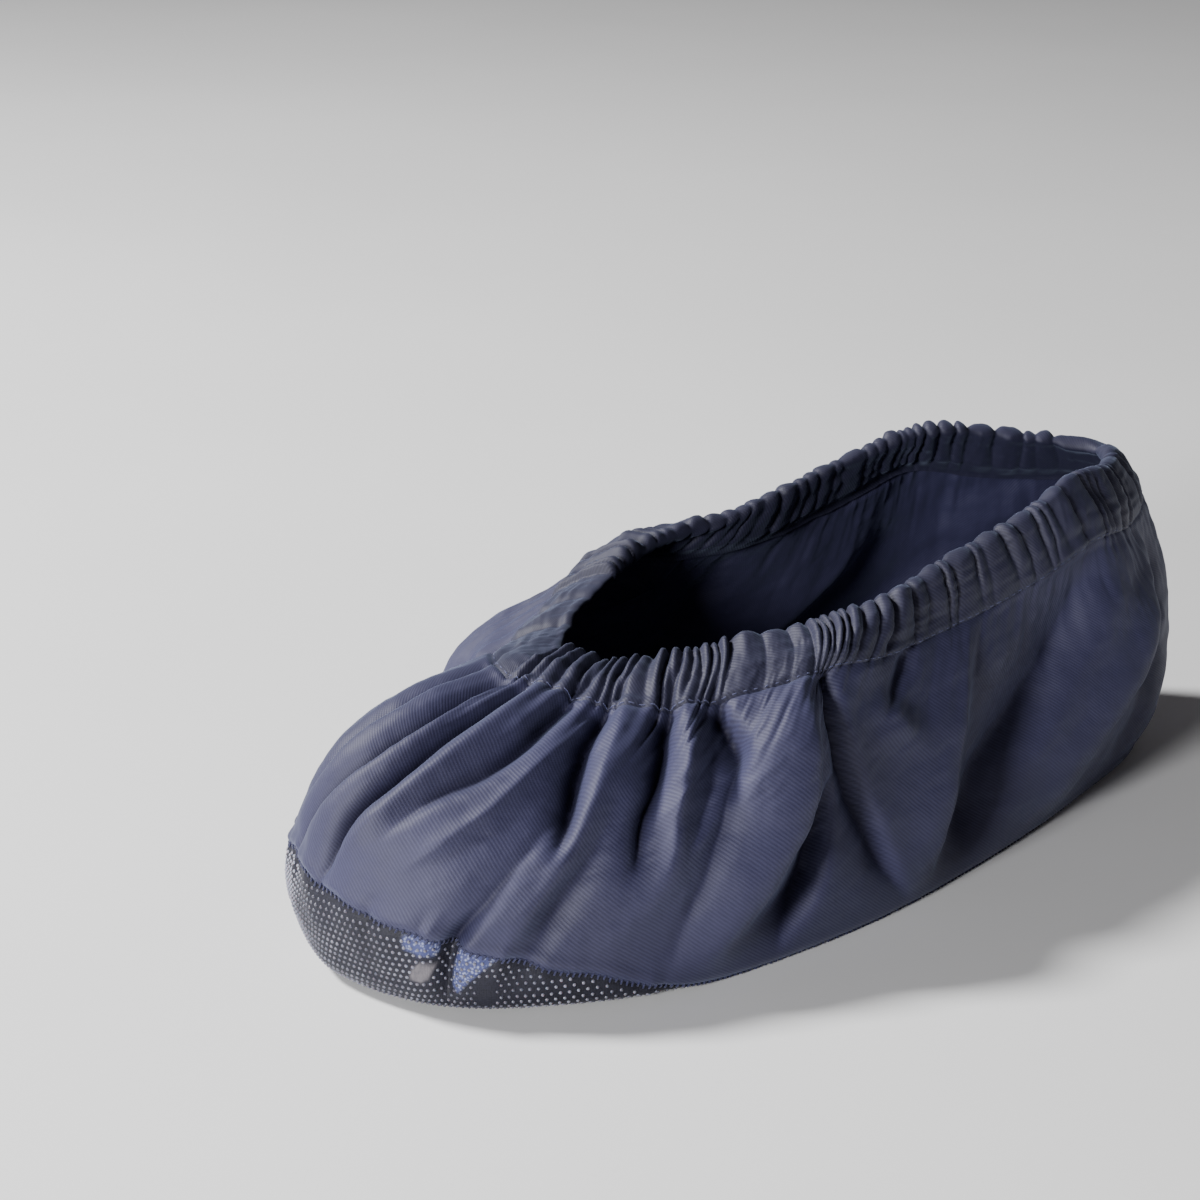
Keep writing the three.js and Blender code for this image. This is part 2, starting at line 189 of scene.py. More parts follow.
Fold = namedtuple("Fold", "name sharp rows")
FOLDS = [
    Fold("far side", 2.0, (
        (1.2, -.11, 0, 24, 12), (1.05, -.11, 1.5, 26, 14), (.92, -.095, 4, 26, 16),
        (.75, -.08, 7, 24, 16), (.55, -.07, 6.5, 24, 14), (.35, -.06, 3, 24, 14),
        (.2, -.05, 0, 20, 14),
    )),
    Fold("inner toe valley", 1.25, (
        (1.2, -.058, 0, 3, 4), (1.05, -.056, 3, 2.4, 5), (.93, -.053, 6, 2.4, 6),
        (.78, -.0505, 6, 2.4, 6), (.6, -.053, 4.5, 2.6, 6), (.45, -.058, 2, 3, 6),
        (.35, -.06, 0, 3, 6),
    )),
    Fold("inner toe valley 2", 1.25, (
        (1.3, -.075, 0, 3, 4), (1.05, -.077, 3.5, 2.4, 6), (.9, -.074, 6, 2.4, 7),
        (.7, -.0765, 6, 2.6, 7), (.5, -.082, 4, 3, 8), (.3, -.087, 0, 3, 8),
    )),
    Fold("inner toe valley 3", 1.3, (
        (1.2, -.1, 0, 3, 4), (1, -.0985, 3, 2.6, 6), (.85, -.1, 4, 2.6, 6), (.68, -.105, 3, 3, 6),
        (.5, -.11, 0, 3, 6),
    )),
    Fold("far groove", 1.4, (
        (1.6, -.036, 0, 4, 2), (1.2, -.0297, 2.4, 4, 2), (1.05, -.0242, 4, 3.6, 2),
        (.9, -.0185, 4.6, 3.4, 2), (.75, -.0165, 4.6, 3.4, 2), (.55, -.0235, 3.4, 3.6, 2),
        (.4, -.033, 0, 4, 2),
    )),
    Fold("dark toe valley", 1.3, (
        (2.1, -.01, 2, 3, 1.6), (1.8, 0, 3.5, 3, 1.6), (1.4, .007, 4.4, 3, 1.8),
        (1.15, .0072, 5.6, 4, 1.8), (.95, .0025, 9.4, 4.8, 1.9), (.75, .003, 10.8, 5, 2),
        (.6, -.0015, 10.4, 5, 2), (.45, -.0135, 7.6, 4.6, 2.2), (.33, -.0235, 2, 4, 3),
        (.28, -.0275, 0, 4, 3),
    )),
    Fold("toe seam valley", 1.2, (
        (1.4, .012, 0, 3, 1.8), (1.15, .0127, 5, 4, 1.8), (1.05, .0134, 5.6, 3, 1.8),
        (.93, .016, 7, 3, 1.8), (.8, .0165, 8, 3.2, 1.8), (.66, .016, 8.4, 3.2, 1.8),
        (.57, .014, 8, 3.4, 1.8), (.47, .009, 6.5, 3.2, 1.8), (.38, .0073, 5, 3.4, 1.6),
        (.3, .0058, 1, 2.6, 2), (.27, .0058, 0, 2.6, 2),
    )),
    Fold("panel valley", 1.5, (
        (2.1, .029, 3.4, 2.4, 1.6), (1.6, .034, 3.6, 2.8, 1.6), (1.3, .038, 4, 3, 1.6),
        (1.1, .0373, 4.4, 3, 1.8), (.95, .038, 4.8, 3.2, 1.9), (.8, .0395, 4.8, 3.4, 2),
        (.68, .037, 3.6, 4, 2.4), (.56, .03, 0, 5, 5),
    )),
    Fold("panel crest", 1.6, (
        (1.05, .023, 0, 2.4, 4), (.95, .024, -1.6, 2.6, 4), (.8, .0245, -2.2, 2.8, 4),
        (.65, .0235, -2.2, 3, 4.5), (.5, .0195, -1.8, 3, 5), (.4, .014, 0, 3, 5),
    )),
    Fold("panel fork", 1.6, (
        (.85, .033, 0, 5, 3), (.68, .033, 2, 7, 2.6), (.55, .029, 3, 8, 2.4), (.44, .024, 0, 7, 3),
    )),
    Fold("panel streak", 1.4, (
        (1, .049, 0, 2, 2), (.8, .0485, -1.6, 2.4, 2), (.6, .0485, -2, 3.2, 2.4),
        (.48, .044, -1.6, 4, 3), (.4, .038, 0, 4, 4),
    )),
    Fold("dark vamp valley", 1.15, (
        (2.1, .045, 3, 2.4, 1.4), (1.8, .047, 4, 2.8, 1.4), (1.5, .051, 4.6, 3.2, 1.5),
        (1.2, .0545, 5.4, 4, 1.5), (1, .0535, 7, 3.6, 1.5), (.88, .0558, 8.4, 3.8, 1.5),
        (.76, .0625, 8.6, 4, 1.5), (.66, .0705, 7.6, 4, 1.5), (.56, .0795, 4, 3.4, 1.8),
        (.5, .083, 0, 3, 3),
    )),
    Fold("pleat valley", 1.6, (
        (.85, .062, 0, 4, 3), (.66, .0665, 1, 5, 3), (.5, .071, 2, 6, 3.5), (.36, .0742, 3, 6, 3.5),
        (.25, .0735, 6, 4, 2), (.12, .0725, 5, 3, 2), (.04, .0725, 0, 3, 2),
    )),
    Fold("long ridge", 1.8, (
        (1.2, .062, 0, 3, 5), (1, .062, -2, 3, 5), (.8, .069, -2.8, 3, 5), (.6, .081, -2.4, 3.4, 5),
        (.42, .092, -1.8, 4, 6), (.28, .095, -1.2, 5, 6), (.15, .093, 0, 5, 6),
    )),
    Fold("soft valley", 1.8, (
        (.75, .08, 0, 5, 5), (.6, .092, 2, 6, 5), (.45, .1035, 4, 7, 5), (.3, .109, 4.5, 7, 5),
        (.17, .108, 2, 6, 5), (.08, .105, 0, 6, 5),
    )),
    Fold("pointed valley", 1.15, (
        (2.1, .07, 3.6, 3.4, 1.4), (1.6, .0755, 4.4, 4.4, 1.4), (1.25, .0785, 5.4, 5.4, 1.5),
        (1.05, .08, 7.4, 6, 1.6), (.93, .083, 9, 5, 1.7), (.82, .0915, 9.5, 5, 1.8),
        (.69, .104, 8.5, 4.8, 1.8), (.57, .1165, 6.5, 4.4, 1.8), (.48, .1265, 4, 3.4, 1.8),
        (.42, .131, 0, 3, 3),
    )),
    Fold("tube ridge", 1.8, (
        (1.3, .083, 0, 2.4, 4), (1.05, .086, -2, 2.4, 4), (.92, .094, -3, 3, 4),
        (.78, .108, -3.4, 3, 4.5), (.62, .125, -3.4, 3, 5), (.5, .142, -3, 3.4, 6),
        (.38, .15, -1.5, 5, 7), (.2, .15, 0, 6, 8),
    )),
    Fold("blotch valley", 1.35, (
        (2.1, .098, 2, 2, 1.6), (1.4, .099, 3, 3, 1.6), (1.05, .101, 5.5, 4.4, 1.8),
        (.96, .108, 7.5, 6, 2), (.88, .125, 8, 6.6, 2.2), (.78, .1425, 7, 6.6, 2.6),
        (.66, .1565, 5.5, 6.6, 3), (.52, .168, 4.6, 7, 4), (.35, .172, 3.6, 8, 4),
        (.18, .17, 2, 8, 4), (.08, .168, 0, 8, 4),
    )),
    Fold("inner valley", 1.5, (
        (.95, .104, 0, 3, 3), (.84, .118, 2, 4, 3), (.7, .136, 3, 5, 3), (.56, .15, 2.4, 5, 3),
        (.42, .156, 0, 5, 4),
    )),
    Fold("broad ridge", 2.0, (
        (1.05, .158, 0, 8, 5), (.95, .168, -2.2, 10, 5), (.85, .1785, -4.6, 13, 4.5),
        (.74, .189, -6.5, 14, 4.5), (.62, .1975, -7, 14, 5), (.48, .2, -7, 13, 7),
        (.3, .195, -6, 11, 9), (.12, .186, -3.5, 9, 10), (.02, .185, 0, 9, 9),
    )),
    Fold("dark wedge", 1.35, (
        (.62, .2165, 0, 4, 2), (.53, .2205, 4, 5, 1.6), (.4, .2235, 8, 9, 1.6),
        (.28, .2235, 9.5, 13, 1.8), (.18, .219, 8.5, 15, 2.2), (.1, .213, 6, 15, 2.6),
        (.03, .21, 1, 13, 4),
    )),
    Fold("crease", 1.15, (
        (1.25, .183, 0, 4, 2), (1, .187, 5, 3, 1.5), (.86, .2005, 6, 3.4, 1.4),
        (.72, .2145, 6.6, 4.4, 1.4), (.58, .2275, 6.6, 8, 1.4), (.36, .2455, 5.6, 9, 1.4),
        (.2, .2575, 4.4, 8, 1.5), (.08, .267, 2.4, 6, 2), (.02, .27, 0, 5, 2),
    )),
    Fold("crease ridge", 1.3, (
        (.95, .194, 0, 1.5, 6), (.75, .2145, -1, 1.4, 7), (.5, .2355, -1.5, 1.4, 8),
        (.25, .2565, -1.3, 1.4, 8), (.08, .2695, 0, 2, 8),
    )),
    Fold("dent", 1.5, (
        (1.1, .236, 0, 6, 3), (.98, .2395, 3.4, 8, 2.6), (.9, .2395, 4, 8, 2.6),
        (.84, .236, 2.4, 7, 3), (.77, .231, 0, 6, 3),
    )),
    Fold("below dent", 1.8, (
        (.88, .226, 0, 6, 4), (.8, .234, -2.4, 10, 6), (.7, .246, -3.2, 12, 7),
        (.58, .258, 0, 12, 7),
    )),
    Fold("corner ridge", 1.5, (
        (1.03, .276, 0, 12, 6), (.88, .276, -4, 15, 6), (.6, .279, -6.5, 18, 6),
        (.35, .279, -6.5, 16, 6), (.12, .277, -3, 14, 6), (.02, .275, 0, 12, 6),
    )),
    Fold("dark side", 1.7, (
        (1.08, .365, 0, 24, 14), (1, .362, 4, 28, 16), (.88, .356, 8, 32, 15),
        (.72, .343, 10.5, 32, 12), (.55, .327, 11, 28, 12), (.38, .312, 10.5, 19, 12),
        (.2, .303, 9, 14, 12), (.08, .299, 5, 12, 12), (.01, .298, 0, 12, 12),
    )),
    Fold("heel ridge", 2.0, (
        (.95, .445, 0, 12, 10), (.82, .432, -3, 13, 10), (.68, .41, -5, 14, 11),
        (.5, .385, -6, 14, 12), (.33, .36, -5, 13, 12), (.16, .35, -3, 12, 12),
        (.02, .345, 0, 12, 12),
    )),
    Fold("heel valley", 1.8, (
        (1, .455, 0, 10, 8), (.85, .45, 3, 12, 8), (.65, .437, 5, 13, 9), (.42, .418, 5, 13, 10),
        (.2, .405, 3, 12, 10), (.04, .4, 0, 12, 10),
    )),
    Fold("heel ridge 2", 2.0, (
        (.95, .49, 0, 9, 9), (.75, .482, -2.5, 10, 10), (.5, .47, -3.5, 11, 11),
        (.25, .46, -2, 11, 11), (.05, .455, 0, 11, 11),
    )),
    Fold("casing dent", 1.8, (
        (1.95, .375, 0, 9, 5), (1.75, .386, 2.6, 10, 5), (1.6, .392, 3, 10, 5),
        (1.42, .392, 0, 8, 5),
    )),
    Fold("casing dent 2", 1.8, (
        (1.4, .35, 0, 6, 6), (1.25, .362, 2.4, 9, 7), (1.12, .372, 2, 9, 7), (1, .377, 0, 9, 7),
    )),
    Fold("casing dent 3", 1.8, (
        (1.3, .405, 0, 8, 8), (1.12, .418, 2.4, 10, 9), (1, .426, 2, 10, 9), (.9, .43, 0, 9, 8),
    )),
    Fold("smooth dent", 1.7, (
        (1.95, .145, 0, 3, 3), (1.8, .153, 1.6, 4, 3), (1.55, .16, 2.2, 5, 3),
        (1.3, .171, 2.2, 5, 3), (1.05, .18, 2.5, 4, 2.4), (.9, .188, 0, 4, 3),
    )),
    Fold("front dent", 1.8, (
        (1.75, -.052, 0, 9, 7), (1.5, -.046, 1.8, 10, 8), (1.3, -.042, 2.6, 10, 7),
        (1.12, -.03, 1.4, 9, 6), (1, -.025, 0, 8, 6),
    )),
]
# The inner side is hidden in the photograph. It takes the side's folds, mirrored, moved
# and shallower.
MIRRORED = (
    "blotch valley", "broad ridge", "dark wedge", "crease", "crease ridge", "dent",
    "corner ridge", "dark side", "heel ridge", "heel valley", "heel ridge 2", "casing dent",
    "casing dent 3", "pointed valley", "soft valley",
)


def mirrored(fold, number):
    shift = 0.012 + 0.004 * math.sin(2.4 * number)
    stretch = 0.92 + 0.1 * math.sin(1.7 * number + 1)
    shallower, wider = 0.8, 1.15
    rows = tuple(
        (level * stretch if level < 1 else level, shift - turn, shallower * depth,
         far * wider, near * wider)
        for level, turn, depth, near, far in fold.rows)
    return Fold(fold.name + " inner", fold.sharp + 0.15, rows)


def away_from(turn):
    """Signed mm round the shoe from a line of turns, one for each level."""
    here = np.empty(LEVELS)
    for j in range(LEVELS):
        ring = np.append(row_place[:, j], row_total[j])
        here[j] = np.interp(np.mod(turn[j], 1) * TURNS, np.arange(TURNS + 1), ring)
    off = row_place - here
    return off - row_total * np.round(off / row_total)


def fold_field(fold):
    rows = np.array(sorted(fold.rows))
    level = rows[:, 0]
    turn, depth, near, far = (np.interp(level_axis, level, rows[:, k]) for k in (1, 2, 3, 4))
    half = 4  # rows of levels that the fold's line and depth are evened out over, each way
    span = np.ones(2 * half + 1) / (2 * half + 1)
    even = lambda values: np.convolve(np.pad(values, half, mode="edge"), span, "valid")
    turn = even(turn)
    inside = (level_axis >= level[0]) & (level_axis <= level[-1])
    depth = even(np.where(inside, depth, 0))
    off = away_from(turn)
    wide = np.where(off < 0, near, far)
    return -depth * np.exp(-np.abs(off / wide)**fold.sharp)


# Gathers. A cleft runs from the rim down through the casing: its turn at the rim and at
# the stitches, where it ends below them, and how deep it is.

Cleft = namedtuple("Cleft", "rim stitch end depth")
CLEFTS = [Cleft(*row) for row in (
    (-.121, -.132, .86, 1.2), (-.112, -.124, .9, 1), (-.104, -.117, .82, 1.4),
    (-.097, -.111, .88, 1.1), (-.089, -.104, .8, 1.4), (-.079, -.094, .86, .9),
    (-.07, -.082, .9, 1.2), (-.062, -.07, .8, 1.4), (-.055, -.06, .86, 1.3),
    (-.048, -.047, .8, 1.5), (-.041, -.036, .86, 1.2), (-.033, -.026, .9, .8),
    (-.025, -.018, .8, 1.2), (-.017, -.01, .8, 1.3), (-.009, 0, .8, 1.2), (-.001, .0085, .75, 1.5),
    (.011, .0165, .85, .9), (.02, .026, .9, 1.2), (.029, .036, .8, 1.5), (.0345, .0415, .8, 1.1),
    (.0405, .047, .85, 1.2), (.046, .052, .7, 1.5), (.0525, .0565, .8, 1.3), (.061, .066, .9, .3),
    (.0715, .0745, .75, 1.5), (.079, .081, .75, 1.1), (.0855, .0865, .85, 1.3),
    (.0905, .091, .85, 1.3), (.0955, .0955, .85, 1.4), (.1005, .1, .8, 1.3), (.1055, .106, .8, 1),
    (.127, .132, .9, .2), (.149, .155, .9, .3), (.166, .173, .85, .8), (.1725, .179, .85, 1.2),
    (.178, .183, .82, 1.5), (.1835, .1865, .78, 1.5), (.1895, .1905, .82, 1.5),
    (.196, .195, .85, 1.3), (.2035, .203, .88, 1), (.213, .213, .9, .7), (.2215, .2235, .82, 1.2),
    (.2335, .243, .85, 1.1), (.241, .252, .9, .5), (.2535, .266, .86, 1.2), (.2585, .272, .9, .6),
    (.2745, .288, .84, 1.3), (.2815, .293, .9, .5), (.2975, .31, .86, 1.1), (.307, .323, .9, .6),
    (.3245, .334, .84, 1.3), (.331, .341, .88, .9), (.338, .352, .92, .5), (.358, .366, .88, .9),
    (.3815, .389, .86, 1.2), (.3875, .3955, .9, .8), (.396, .401, .9, 1.1), (.4155, .418, .92, .6),
    (.431, .434, .88, 1.1), (.438, .44, .9, .6), (.4625, .463, .9, .9), (.471, .473, .92, .5),
    (.497, .494, .9, .9),
)]


INNER_SIDE = 0.515, 0.877  # turns between which the clefts are drawn at random
INNER_STEPS = 0.006, 0.0085, 0.012, 0.019
CLOSEST = 0.003  # turns between two clefts


def all_clefts():
    """The clefts all round in order, with random ones on the inner side."""
    inner = []
    place, last = INNER_SIDE
    while place < last:
        place += rng.choice(INNER_STEPS)
        stitch = place + 0.006 * math.sin(16 * place) - 0.003
        inner.append(Cleft(place, stitch, rng.uniform(0.8, 0.92), rng.uniform(0.4, 1.3)))
    ring = sorted(CLEFTS + inner, key=lambda c: c.rim)
    return [ring[0]] + [c for before, c in zip(ring, ring[1:]) if c.rim - before.rim > CLOSEST]


def gather_field():
    """Puffs between the clefts: displacement in mm, and how far each place is up on a puff."""
    clefts = all_clefts()
    count = len(clefts)
    rim, stitch, end, depth = np.array(clefts).T
    wiggle = rng.uniform(0, 2 * math.pi, count)
    skew = rng.uniform(-0.6, 0.6, count)
    rim_share = rng.uniform(0.7, 1.3, count)
    stitch_share = np.where(depth > 1.35, 1.0, rng.uniform(0.1, 0.7, count))
    below = np.where((rim > -0.06) & (rim < 0.11), 1.0, 0.55)
    big = rng.uniform(0.75, 1.25, count)
    field = np.zeros((TURNS, LEVELS))
    puff = np.zeros((TURNS, LEVELS))
    lowest = 0.6
    for j, level in enumerate(level_axis):
        if level < lowest:
            continue
        share = np.clip(level - 1, lowest - 1, 1)
        at = stitch + (rim - stitch) * share
        at = at + 0.0011 * np.sin(wiggle + 5 * level) * np.clip(depth, 0, 1)
        order = np.argsort(at)
        at, ends, deep = at[order], end[order], depth[order]
        turns = turn_axis.copy()
        turns[turns < at[0]] += 1
        k = np.searchsorted(at, turns, side="right") - 1
        k = np.clip(k, 0, count - 1)
        nxt = (k + 1) % count
        after = np.where(k == count - 1, at[0] + 1, at[nxt])
        width = after - at[k]
        x = np.clip((turns - at[k]) / width, 0, 1)
        mm = width * row_total[j]
        shown = lambda e: smooth(level, e - 0.04, 1.0)
        here = stitch_share[order]
        if share > 0:
            here = rim_share[order] * share + here * (1 - share)
        if level < 1:
            here = here * below[order]
        strong = deep * here
        weight = (1 - x) * shown(ends[k]) * strong[k] + x * shown(ends[nxt]) * strong[nxt]
        lean = skew[order][k]
        x = np.clip(x + lean * x * (1 - x), 0, 1)
        arch = 1 - np.abs(2 * x - 1)**2.4
        tall = np.minimum(0.5 * mm, 2.8) * np.minimum(1, 11 / mm) * big[order][k]
        swell = 0.8 if level < 1 else 0.8 + 0.2 * math.sin(math.pi * (level - 1))
        raised = swell * tall * weight * (arch - 0.5)
        floor_at = 3 - 1.55 * smooth(level, 1.0, 1.15)  # the elastic is under the casing's clefts
        field[:, j] = np.where(raised < 0, floor_at * np.tanh(raised / floor_at), raised)
        puff[:, j] = arch * np.clip(weight, 0, 1) * np.minimum(tall / 2.6, 1)
    return field, puff


gathers, puffs = gather_field()
folds = sum(fold_field(fold) for fold in FOLDS)
both_sides = [fold for fold in FOLDS if fold.name in MIRRORED]
folds = folds + sum(fold_field(mirrored(fold, k)) for k, fold in enumerate(both_sides))
lifted = smooth(length, 1, 22)
fine_puckers = noise(190, 7, 51, 2) * smooth(level_grid, 0.45, 1.0)
crumple = 0.75 * noise(26, 10, 11, 2) + 0.3 * noise(70, 24, 31, 3) + 0.32 * fine_puckers
casing_share = smooth(level_grid, 0.97, 1.0)
pinch = -0.5 * np.exp(-((length - stitch_at[:, None]) / 0.9)**2)
tunnel = 1.3 * np.sin(math.pi * np.clip(level_grid - 1, 0, 1))**0.7
fade_up = 1 - 0.55 * casing_share
lift_out = lifted * (folds * fade_up + crumple * (1 - 0.5 * casing_share))
lift_out = lift_out + gathers + pinch + tunnel

# The seam between the twill and the grip cloth
seam_at = TOE_WRAP * around("seam", turn_axis)
seam_step = 1.3 * np.tanh((np.mod(turn_axis + 0.5, 1) - 0.5 + 0.001) / 0.003)
seam_waves = 0.5 * np.sin(2 * math.pi * 23 * turn_axis)
seam_at = seam_at - seam_step + seam_waves * smooth(seam_at, 3, 12)
to_seam = length - seam_at[:, None]
at_toe = smooth(seam_at, 3, 8)[:, None]
pucker_places = np.arange(0, cloth_girth, 3.4)
pucker = np.interp(cloth_place, pucker_places, rng.normal(size=len(pucker_places)))
lift_out = lift_out + 0.45 * pucker[:, None] * np.exp(-(to_seam / 6)**2) * at_toe
lift_out = lift_out + 0.7 * np.exp(-((to_seam - 2.6) / 2)**2) * at_toe
lift_out = lift_out - 0.8 * np.exp(-(to_seam / 1.1)**2) * at_toe


class Chart:
    """A field of the chart, read at any turns and levels."""
    def __init__(self, field):
        self.field = field

    def __call__(self, turn, level):
        x = np.mod(turn, 1) * TURNS
        y = np.clip(level, 0, 2) / 2 * (LEVELS - 1)
        i, j = np.floor(x).astype(int), np.minimum(np.floor(y).astype(int), LEVELS - 2)
        u, v = x - i, y - j
        if self.field.ndim == 3:
            u, v = u[..., None], v[..., None]
        a, b = self.field[i % TURNS, j], self.field[(i + 1) % TURNS, j]
        c, d = self.field[i % TURNS, j + 1], self.field[(i + 1) % TURNS, j + 1]
        return (a * (1 - u) + b * u) * (1 - v) + (c * (1 - u) + d * u) * v


def spread(field, cells):
    """The field's mean over a run of cells round the shoe."""
    ring = np.concatenate([field[-cells:], field, field[:cells]])
    total = np.cumsum(np.concatenate([np.zeros((1, LEVELS)), ring]), 0)
    return (total[2 * cells + 1:] - total[:-2 * cells - 1]) / (2 * cells + 1)


# How far a place is down in a fold or cleft, 0 to 1: the twill gets painted shade there, a darker
# colour and less sheen and gloss
low = spread(spread(lift_out, 16), 16) - lift_out
painted_fold_shade = np.clip((low - 0.5) / 3.2, 0, 1)  # from 0.5 to 3.7 mm under the mean

base_at, normal_at, out_at = Chart(base), Chart(normal), Chart(lift_out)
puff_at, gather_at, painted_fold_shade_at = Chart(puffs), Chart(gathers), Chart(painted_fold_shade)


def cloth(turn, level, depth=0.0, out=None):
    """Points of the folded cloth, some depth under its outer face, in mm."""
    out = out_at(turn, level) if out is None else out
    return base_at(turn, level) + normal_at(turn, level) * (out - depth)[..., None]


def ring_value(ring, turn):
    """One value for each turn of the chart, read at any turns."""
    return np.interp(np.mod(turn, 1) * TURNS, np.arange(TURNS + 1), np.append(ring, ring[0]))


def stitch_of(turn):
    return ring_value(stitch_at, turn)


def length_to_level(turn, mm):
    stitch = stitch_of(turn)
    return np.where(mm <= stitch, mm / stitch, 1 + (mm - stitch) / CASING_WIDTH)


def seam_level(turn, shift=0.0):
    return length_to_level(turn, ring_value(seam_at, turn) + shift)


# Meshes

def to_metres(points):
    points = np.asarray(points).reshape(-1, 3) + np.array(SHIFT)
    points[:, 2] = np.maximum(points[:, 2], 0)  # nothing is under the floor
    return points / 1000


def mesh_object(name, points, faces, uv=None):
    """points in mm; faces as an array of quads or a list of polygons; uv in mm per point."""
    mesh = bpy.data.meshes.new(name)
    faces = faces.tolist() if hasattr(faces, "tolist") else faces
    mesh.from_pydata(to_metres(points).tolist(), [], faces)
    mesh.validate()
    if uv is not None:
        corner = np.empty(len(mesh.loops), dtype=np.int32)
        mesh.loops.foreach_get("vertex_index", corner)
        layer = mesh.uv_layers.new(name="cloth")
        values = np.asarray(uv).reshape(-1, 2)[corner] / 1000
        layer.data.foreach_set("uv", values.astype(np.float32).ravel())
    mesh.polygons.foreach_set("use_smooth", np.ones(len(mesh.polygons), dtype=bool))
    mesh.update()
    made = bpy.data.objects.new(name, mesh)
    bpy.context.scene.collection.objects.link(made)
    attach(made, "root")
    return made


def add_values(piece, name, values):
    """One value for each point, read by the piece's material."""
    layer = piece.data.attributes.new(name, "FLOAT", "POINT")
    layer.data.foreach_set("value", np.asarray(values).astype(np.float32).ravel())


def ring_grid(columns, rows):
    """Quads between rings of points stored as (columns + 1, rows)."""
    a = np.arange(columns)[:, None] * rows + np.arange(rows - 1)[None]
    return np.stack([a, a + rows, a + rows + 1, a + 1], -1).reshape(-1, 4)


def sheet_uv(turns, mm, row=GIRTH_ROW):
    """Places on the cloth, in mm: round the shoe on a row's scale, and up the cloth."""
    place = np.interp(turns, columns_of(TURNS), np.append(row_place[:, row], row_total[row]))
    return np.stack([np.broadcast_to(place[:, None], mm.shape), mm], -1)


# Materials

def linear(r, g, b):
    """A colour from its 8-bit screen values."""
    parts = (c / 255 for c in (r, g, b))
    return tuple(c / 12.92 if c <= 0.04045 else ((c + 0.055) / 1.055)**2.4 for c in parts) + (1.0,)


class Nodes:
    """A material's node tree, with short calls to add and link nodes."""
    def __init__(self, name):
        self.material = bpy.data.materials.new(name)
        self.material.use_nodes = True
        self.tree = self.material.node_tree
        self.shader = self.tree.nodes["Principled BSDF"]

    def add(self, kind, inputs=None, **settings):
        node = self.tree.nodes.new(kind)
        for key, value in settings.items():
            setattr(node, key, value)
        for key, value in (inputs or {}).items():
            if isinstance(value, bpy.types.NodeSocket):
                self.tree.links.new(value, node.inputs[key])
            else:
                node.inputs[key].default_value = value
        return node

    def math(self, operation, a, b=0.0):
        return self.add("ShaderNodeMath", {0: a, 1: b}, operation=operation).outputs[0]

    def times(self, a, b):
        return self.math("MULTIPLY", a, b)

    def scaled(self, value, size, start):
        """start where the value is 0, and start + size where it is 1."""
        return self.math("ADD", self.times(value, size), start)

    def wave(self, value, period):
        """A wave of 0 to 1 along a value."""
        return self.scaled(self.math("SINE", self.times(value, 2 * math.pi / period)), 0.5, 0.5)

    def coords(self):
        """The cloth's own places, and places on the object, in metres."""
        outputs = self.add("ShaderNodeTexCoord").outputs
        return outputs["UV"], outputs["Object"]

    def value_of(self, name):
        return self.add("ShaderNodeAttribute", attribute_name=name).outputs["Fac"]

    def cells(self, vector, scale, randomness=1.0):
        inputs = {"Vector": vector, "Scale": scale, "Randomness": randomness}
        return self.add("ShaderNodeTexVoronoi", inputs).outputs["Distance"]

    def noise(self, vector, scale, detail=2.0, roughness=0.5, stretch=None):
        if stretch:
            vector = self.add("ShaderNodeMapping", {"Vector": vector, "Scale": stretch}).outputs[0]
        inputs = {"Vector": vector, "Scale": scale, "Detail": detail, "Roughness": roughness}
        return self.add("ShaderNodeTexNoise", inputs).outputs["Fac"]

    def ramp(self, factor, stops):
        node = self.add("ShaderNodeValToRGB", {"Fac": factor})
        elements = node.color_ramp.elements
        while len(elements) < len(stops):
            elements.new(0.5)
        for element, (position, colour) in zip(elements, stops):
            element.position = position
            element.color = colour
        return node.outputs["Color"]

    def mix(self, factor, a, b):
        inputs = {"Factor": factor, 6: a, 7: b}
        return self.add("ShaderNodeMix", inputs, data_type="RGBA").outputs[2]

    def bump(self, height, strength, distance, under=None):
        inputs = {"Height": height, "Strength": strength, "Distance": distance}
        if under is not None:
            inputs["Normal"] = under
        return self.add("ShaderNodeBump", inputs).outputs["Normal"]

    def link(self, output, socket):
        self.tree.links.new(output, self.shader.inputs[socket])

    def set(self, **values):
        for key, value in values.items():
            self.shader.inputs[key.replace("_", " ")].default_value = value


